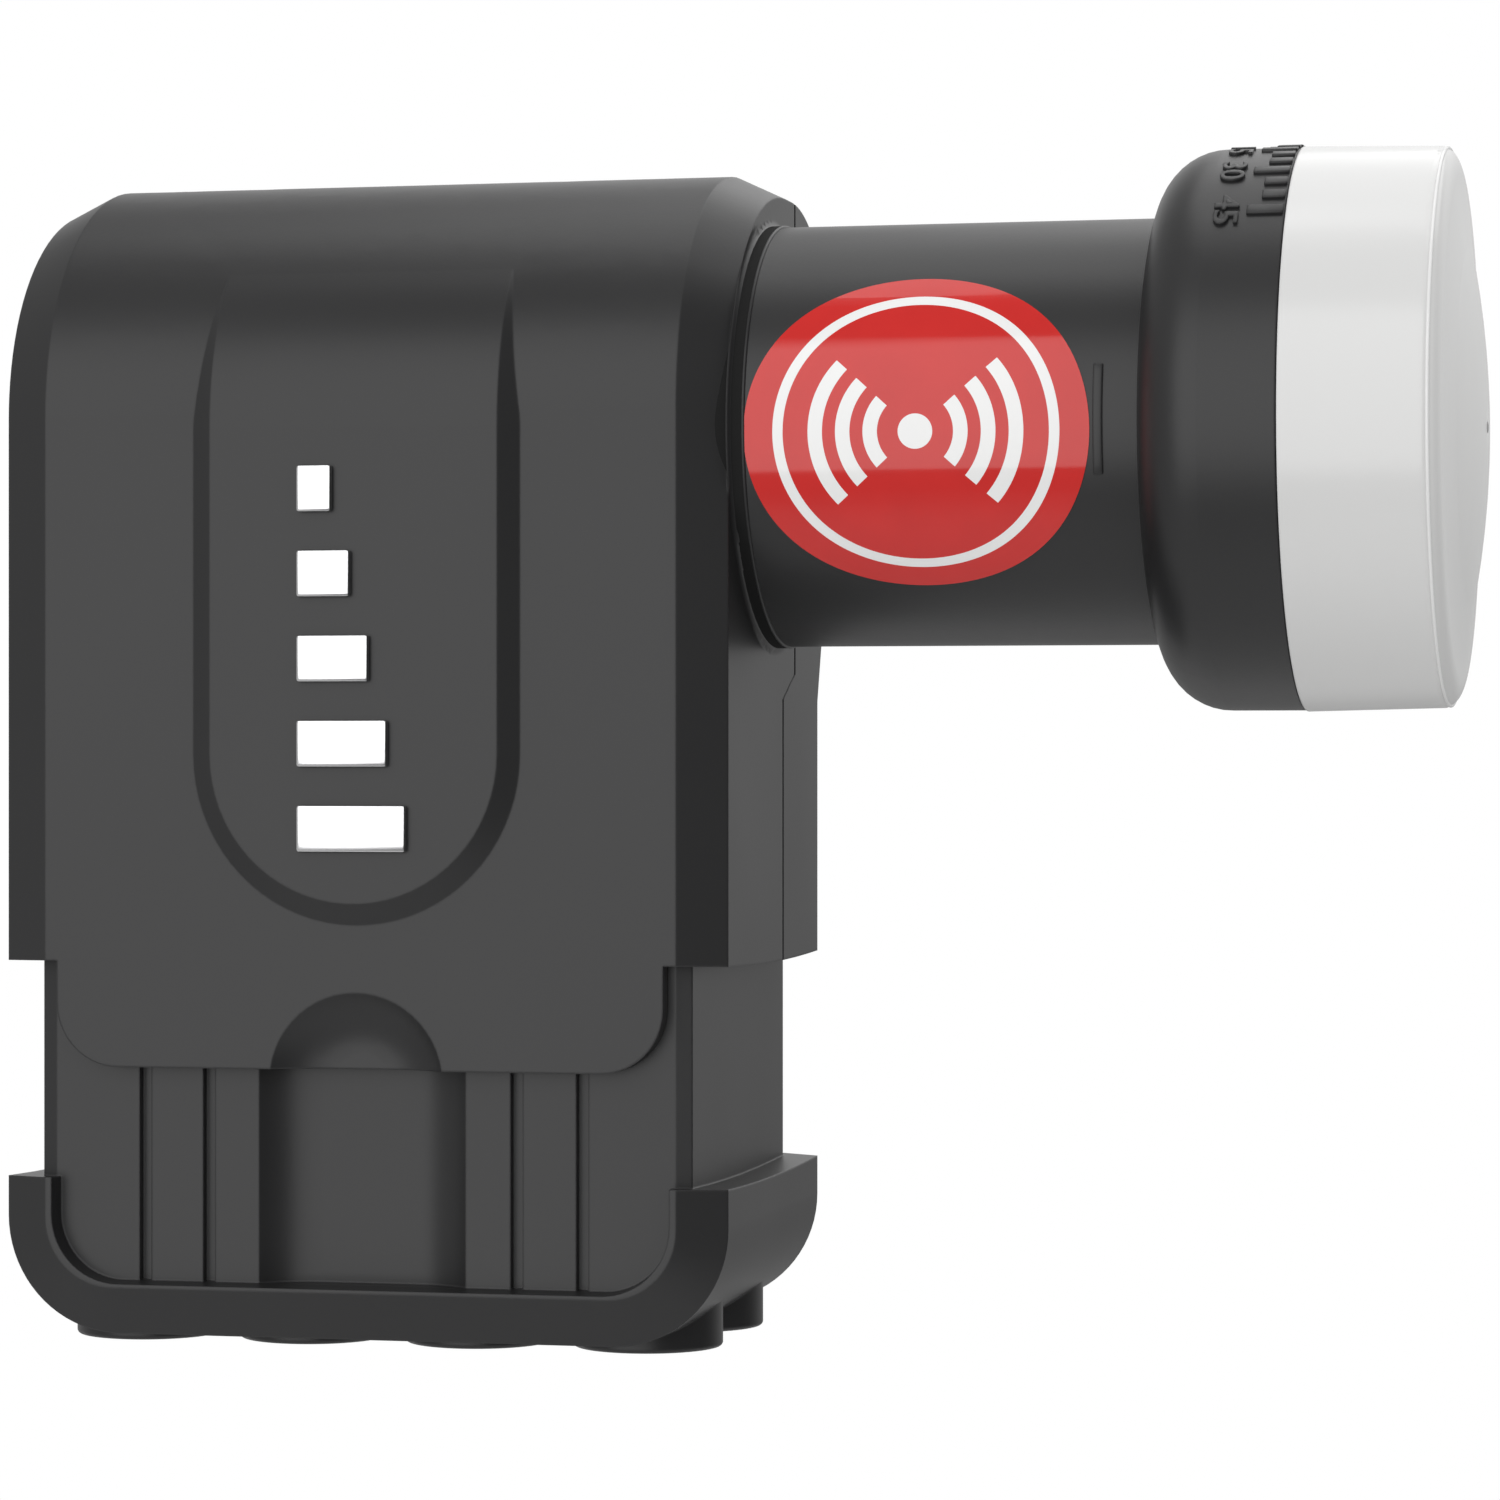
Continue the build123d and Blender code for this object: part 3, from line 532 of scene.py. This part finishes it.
# %% Wrap the line on the neck
line_x = 15.3 * MM
line_size = (0.9 * MM, 10.1 * MM, 0.44 * MM)
line_edge = 0.12 * MM
line_cuts = 12
bm = bmesh.new()
bevelled_bar(bm, line_size, Vector((0, 0, 0)), line_edge)
long_edges = [e for e in bm.edges if e.calc_length() > line_size[1] / 2]
bmesh.ops.subdivide_edges(bm, edges=long_edges, cuts=line_cuts)
wrap(bm.verts, neck_radius, line_x, 0.0)
make_piece("neck_line", bm, "housing", finishes["shell_plastic"])

# %% [markdown]
# ## The joint at the neck's root
# Where the neck leaves the housing, the joint lies in shadow, and a black ring of painted shade fills it in a
# rubber finish. The neck starts beside it with a fine bead. Both are rings. A torus would do for the bead
# alone, so each is a small section of edges that goes once round the feed axis, and the section can have any
# shape.

# %% Spin the painted shade ring and the bead
ring_steps = 144
ring_smooth = 60.0
wire_points = 12
shade_ring_edge_x = -17.5 * MM
shade_ring_root_x = -21.0 * MM
shade_ring_sunk = 0.4 * MM
shade_ring_stand = 0.14 * MM
shade_ring_smooth = 20.0
bead_thickness = 0.36 * MM


def spin_section(bm, points, centre, axis, steps):
    """Join the points into a closed section and spin it once round an axis."""
    ring = [bm.verts.new(point) for point in points]
    loop = [bm.edges.new((vert, ring[index - 1])) for index, vert in enumerate(ring)]
    turn = radians(360)
    bmesh.ops.spin(bm, geom=ring + loop, cent=centre, axis=axis, angle=turn, steps=steps, use_merge=True)


def spun_ring(bm, section, steps):
    """Spin a closed section, given as (x, radius) points, round the feed axis."""
    spin_section(bm, [(x, 0, radius) for x, radius in section], (0, 0, 0), (1, 0, 0), steps)


def round_section(x, radius, thickness, points):
    """Points of a round wire's section whose middle is at (x, radius)."""
    turns = [radians(360 * index / points) for index in range(points)]
    return [(x + thickness / 2 * cos(turn), radius + thickness / 2 * sin(turn)) for turn in turns]


bm = bmesh.new()
# painted shade: this black ring fills the joint where the real part only lies in shadow
shade_ring_section = (
    (shade_ring_root_x, neck_radius - shade_ring_sunk),
    (shade_ring_root_x, neck_radius + shade_ring_stand),
    (shade_ring_edge_x, neck_radius + shade_ring_stand),
    (shade_ring_edge_x, neck_radius - shade_ring_sunk),
)
spun_ring(bm, shade_ring_section, ring_steps)
make_piece("neck_root_painted_shade_ring", bm, "housing", finishes["seal_rubber"], shade_ring_smooth)
bm = bmesh.new()
spun_ring(bm, round_section(shade_ring_edge_x, neck_radius, bead_thickness, wire_points), ring_steps)
make_piece("neck_bead", bm, "housing", finishes["shell_plastic"], ring_smooth)

# %% [markdown]
# ## The rim of the cap's face
# The solid's face is a dome with a flat ring round it. On the real cap a low, rounded rim fills that corner,
# less than a millimetre high, and runs softly into the dome. A bevel can't add material there, so it is a
# ring of its own. Its section follows a curve out from the dome, bends down over the edge and returns inside
# the cap's wall, and it goes once round the feed axis.

# %% Spin the rim
# each point of the curve is a radius and a distance behind the cap's middle
rim_curve = (Vector((16.0, 1.46)) * MM, Vector((20.0, 2.12)) * MM, Vector((23.0, 2.3)) * MM)
rim_reach = 2.75 * MM
rim_drop = 1.3 * MM
rim_sunk = 1.2 * MM
rim_points = 12


def rim_section():
    """Points of the rim's section as (x, radius), from the dome out over the edge and back inside."""
    start, pull, crest = rim_curve
    outline = []
    for index in range(rim_points):
        along = index / rim_points
        outline.append((1 - along) ** 2 * start + 2 * along * (1 - along) * pull + along**2 * crest)
    for index in range(rim_points + 1):
        turn = radians(90 * index / rim_points)
        outline.append(crest + Vector((rim_reach * sin(turn), rim_drop * (1 - cos(turn)))))
    inward = Vector((0, rim_sunk))
    outline += [crest + inward, start + inward]
    return [(cap_high.x - behind, radius) for radius, behind in outline]


bm = bmesh.new()
spun_ring(bm, rim_section(), ring_steps)
make_piece("cap_rim", bm, "housing", finishes["cap_plastic"], ring_smooth)

# %% [markdown]
# ## The lip on the cap
# The rim of the white cap ends in a fine lip, which shows as a bright line between its skirt and its face.
# It is a round wire, half sunk into the rim's rounding, and paler than the cap: the paler colour is a painted
# highlight that draws the bright line.

# %% Spin the lip
cap_radius = cap_high.z
lip_back = 3.4 * MM
lip_inset = 0.5 * MM
lip_thickness = 0.34 * MM
# painted highlight: a paler copy of the cap's white gives the lip its bright line
lip_highlight_finish = skin_material(
    "cap_lip_painted_highlight", (0.71, 0.71, 0.705), 0.2, specular=0.7, mottle=0.01, edge_lift=0.02
)
lip_section = round_section(cap_high.x - lip_back, cap_radius - lip_inset, lip_thickness, wire_points)
bm = bmesh.new()
spun_ring(bm, lip_section, ring_steps)
make_piece("cap_lip", bm, "housing", lip_highlight_finish, ring_smooth)

# %% [markdown]
# ## The gate mark on the cap
# A white cap like this is injected through the middle of its face, which leaves a pin-head of a mark there.
# A dot of colour would do from afar, but a flattened sphere sunk into the dome also stands out a little.

# %% Set the mark on the cap's middle
gate_radius = 0.55 * MM
gate_stand = 0.12 * MM
gate_sunk = 0.02 * MM
gate_grey = skin_material("gate_mark", (0.30, 0.30, 0.30), 0.6, mottle=0.02)
bm = bmesh.new()
flattened = Matrix.Diagonal((gate_stand, gate_radius, gate_radius, 1))
placed = Matrix.Translation((cap_high.x - gate_sunk, 0, 0)) @ flattened
bmesh.ops.create_uvsphere(bm, u_segments=24, v_segments=12, radius=1.0, matrix=placed)
make_piece("cap_gate_mark", bm, "housing", gate_grey)

# %% [markdown]
# ## Threads on the cable connectors
# The solids leave each connector as a plain tube at its thread's radius. Here the section of one connector
# is a loop of edges with a tooth for each turn of the thread, and it is spun round its axis at each of the
# eight places that the solids hold. A true thread is a helix, but at this size rings look the same and close
# without a seam.

# %% Draw the connector's section
thread_pitch = 25.4 / 32 * MM
thread_length = 12.5 * MM
thread_depth = 0.43 * MM
crest_end = 0.12 * thread_pitch
root_start = 0.5 * thread_pitch
root_end = 0.62 * thread_pitch
tip_chamfer = 0.5 * MM
shank_radius = 3.5 * MM
seat_radius = 2.85 * MM
flange_height = 1.5 * MM
flange_edge = 0.2 * MM
port_low, port_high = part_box("f_connector_1")
flange_radius = (port_high.x - port_low.x) / 2
flange_bottom = port_low.z + thread_length


def connector_section():
    """Points of the connector's section as (radius, height), from the tip's inner edge round."""
    points = [(seat_radius, port_low.z), (thread_radius - tip_chamfer, port_low.z)]
    height = port_low.z + tip_chamfer
    while height + thread_pitch < flange_bottom:
        points.append((thread_radius, height))
        points.append((thread_radius, height + crest_end))
        points.append((thread_radius - thread_depth, height + root_start))
        points.append((thread_radius - thread_depth, height + root_end))
        height += thread_pitch
    points += [
        (thread_radius - thread_depth, flange_bottom),
        (flange_radius - flange_edge, flange_bottom),
        (flange_radius, flange_bottom + flange_edge),
        (flange_radius, flange_bottom + flange_height),
        (shank_radius, flange_bottom + flange_height),
        (shank_radius, port_high.z),
        (seat_radius, port_high.z),
    ]
    return points


print("points in the section:", len(connector_section()))

# %% Spin a threaded connector for each port
port_count = 8
thread_steps = 40
thread_smooth = 25.0


def threaded_connector(number):
    """One connector in the place of its solid."""
    low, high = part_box(f"f_connector_{number}")
    axis = ((low + high) / 2).xy
    section = [(axis.x + radius, axis.y, height) for radius, height in connector_section()]
    bm = bmesh.new()
    spin_section(bm, section, (*axis, 0), (0, 0, 1), thread_steps)
    name = f"threaded_connector_{number}"
    plating = finishes["connector_plating"]
    piece = make_piece(name, bm, "housing", plating, thread_smooth)
    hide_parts(f"f_connector_{number}")


for number in range(1, port_count + 1):
    threaded_connector(number)

# %% [markdown]
# ## Camera
# The picture was taken level, from close by and a little from the cap's side, so the cap looks a little
# larger than it would from afar. The camera's place is given in the part's own frame, and its lens as a
# focal length in pixels of the picture.

# %% Place the camera
camera_turn = radians(12.85)
camera_spot = Vector((81.8, -452.3, -30.4)) * MM
view_width = 1500
focal_length = 4840
view_shift = 5.5
camera_data = bpy.data.cameras.new("camera")
camera_data.sensor_width = 36.0
camera_data.lens = focal_length / view_width * camera_data.sensor_width
camera_data.shift_y = view_shift / view_width
camera_data.clip_start = 0.01
camera_data.clip_end = 20.0
camera = bpy.data.objects.new("camera", camera_data)
camera.location = camera_spot
camera.rotation_euler = (radians(90), 0, camera_turn)
bpy.context.scene.collection.objects.link(camera)
bpy.context.scene.camera = camera
print("lens", round(camera_data.lens, 1))

# %% [markdown]
# ## Lights
# One large soft box stands in front, a little to the left and above, and it is what the satin plastic and
# the glossy label mirror. A weaker one hangs above and behind, and a small one over the neck puts a light
# band on the label's top. Point lamps would give hard shadows and specks instead of bands.

# %% Hang the lights
def soft_box(name, azimuth, elevation, distance, size, radiance, sideways=0.0):
    """An area lamp aimed at the part's middle or beside it, as bright as radiance says at its face."""
    lamp = bpy.data.lights.new(name, "AREA")
    lamp.shape = "RECTANGLE"
    lamp.size, lamp.size_y = size
    lamp.energy = radiance * pi * size[0] * size[1]
    holder = bpy.data.objects.new(name, lamp)
    turn, rise = radians(azimuth), radians(elevation)
    middle = (cad_box[0] + cad_box[1]) / 2
    away = Vector((sin(turn) * cos(rise), -cos(turn) * cos(rise), sin(rise)))
    holder.location = middle + distance * away + Vector((sideways, 0, 0))
    holder.rotation_euler = (-away).to_track_quat("-Z", "Y").to_euler()
    bpy.context.scene.collection.objects.link(holder)
    print(name, "watts", round(lamp.energy, 2))


soft_box("front_soft_box", azimuth=-12, elevation=14, distance=1.0, size=(1.25, 1.33), radiance=1.42)
soft_box("top_soft_box", azimuth=150, elevation=65, distance=0.9, size=(1.0, 1.1), radiance=1.15)
soft_box(
    "neck_soft_box", azimuth=0, elevation=85, distance=0.94, size=(0.2, 0.35), radiance=1.4, sideways=-0.12
)

# %% [markdown]
# ## The room
# The world is a dim grey room with a white backdrop behind the part. The camera sees white all round, while
# glossy and transmitted rays see the backdrop where it stands and a wall that is lighter on the left. A plain
# white world would wash out the dark plastic. The room that lights matt surfaces is a little brighter from
# the right, above and below.

# %% Light the room
room_levels = (0.48, 0.74)
room_ends = 0.34
wall_span = (-0.6, 0.6)
wall_levels = (0.45, 0.05)
backdrop_reach = (0.45, 0.9)
backdrop_heights = (-0.12, 0.3)
backdrop_levels = (0.34, 1.0)


def seen_directly(tree):
    """Is Camera Ray, and beside it 1 for glossy and transmitted rays, else 0."""
    rays = tree.nodes.new("ShaderNodeLightPath").outputs
    mirrored = math_node(tree, "MAXIMUM", rays["Is Glossy Ray"], rays["Is Transmission Ray"])
    return rays["Is Camera Ray"], mirrored


def light_room():
    """Dim grey world with a white backdrop behind the part."""
    world = bpy.data.worlds.new("studio_room")
    world.use_nodes = True
    bpy.context.scene.world = world
    tree = world.node_tree
    tree.nodes.clear()
    camera_ray, mirrored = seen_directly(tree)
    direction = tree.nodes.new("ShaderNodeTexCoord").outputs["Generated"]
    parts = tree.nodes.new("ShaderNodeSeparateXYZ")
    link(tree, direction, parts.inputs["Vector"])
    backdrop = spread(tree, parts.outputs["Z"], *backdrop_heights, *backdrop_levels)
    behind = spread(tree, parts.outputs["Y"], *backdrop_reach, 0.0, backdrop)
    wall = spread(tree, parts.outputs["X"], *wall_span, *wall_levels)
    seen = math_node(tree, "MAXIMUM", camera_ray, math_node(tree, "MAXIMUM", wall, behind))
    direct = math_node(tree, "MAXIMUM", camera_ray, mirrored)
    up_or_down = math_node(tree, "ABSOLUTE", parts.outputs["Z"])
    ends = spread(tree, up_or_down, 0.0, 1.0, 0.0, room_ends)
    room = math_node(tree, "ADD", ends, spread(tree, parts.outputs["X"], 0.0, 1.0, *room_levels))
    change = math_node(tree, "MULTIPLY", direct, math_node(tree, "SUBTRACT", seen, room))
    background = tree.nodes.new("ShaderNodeBackground")
    link(tree, math_node(tree, "ADD", room, change), background.inputs["Strength"])
    background.inputs["Color"].default_value = (1.0, 1.0, 1.0, 1.0)
    world_output = tree.nodes.new("ShaderNodeOutputWorld")
    link(tree, background.outputs["Background"], world_output.inputs["Surface"])
    print("world", world.name, "with", len(tree.nodes), "nodes")


light_room()

# %% [markdown]
# ## Floor
# The part floats in its picture, so the floor lies well below it. It is pale and matt, catches the part's
# soft shadow and sends some light back up, and it fades to white towards its rim so that no edge shows.
# Only its top shows: from below it is clear, so the underside of the part can be looked at too.

# %% Lay the floor
floor_drop = 0.1
floor_radius = 0.34
floor_fade = (0.12, 0.33)
floor_sides = 96
floor_grey = (0.57, 0.57, 0.57)


def floor_material():
    """Pale matt floor that thins out into the white room towards its rim."""
    material = bpy.data.materials.new("pale_floor")
    material.use_nodes = True
    tree = material.node_tree
    shader = shader_of(material)
    shader.inputs["Base Color"].default_value = (*floor_grey, 1.0)
    shader.inputs["Roughness"].default_value = 0.9
    shader.inputs["Specular IOR Level"].default_value = 0.1
    place = tree.nodes.new("ShaderNodeTexCoord").outputs["Object"]
    reach = tree.nodes.new("ShaderNodeVectorMath")
    reach.operation = "LENGTH"
    link(tree, place, reach.inputs[0])
    fade = spread(tree, reach.outputs["Value"], *floor_fade, 1.0, 0.0)
    fade.node.interpolation_type = "SMOOTHSTEP"
    underside = tree.nodes.new("ShaderNodeNewGeometry").outputs["Backfacing"]
    top_only = math_node(tree, "SUBTRACT", 1.0, underside)
    link(tree, math_node(tree, "MULTIPLY", fade, top_only), shader.inputs["Alpha"])
    return material


bm = bmesh.new()
bmesh.ops.create_circle(bm, cap_ends=True, segments=floor_sides, radius=floor_radius)
floor_mesh = bpy.data.meshes.new("studio_floor")
bm.to_mesh(floor_mesh)
bm.free()
floor_mesh.materials.append(floor_material())
floor = bpy.data.objects.new("studio_floor", floor_mesh)
floor.location = (body_middle / 2, 0, cad_box[0].z - floor_drop)
bpy.context.scene.collection.objects.link(floor)
print("floor at", round(floor.location.z / MM, 1))

# %% [markdown]
# ## Colour
# The Standard view shows colours as they are written.

# %% Set the view
bpy.context.scene.view_settings.view_transform = "Standard"
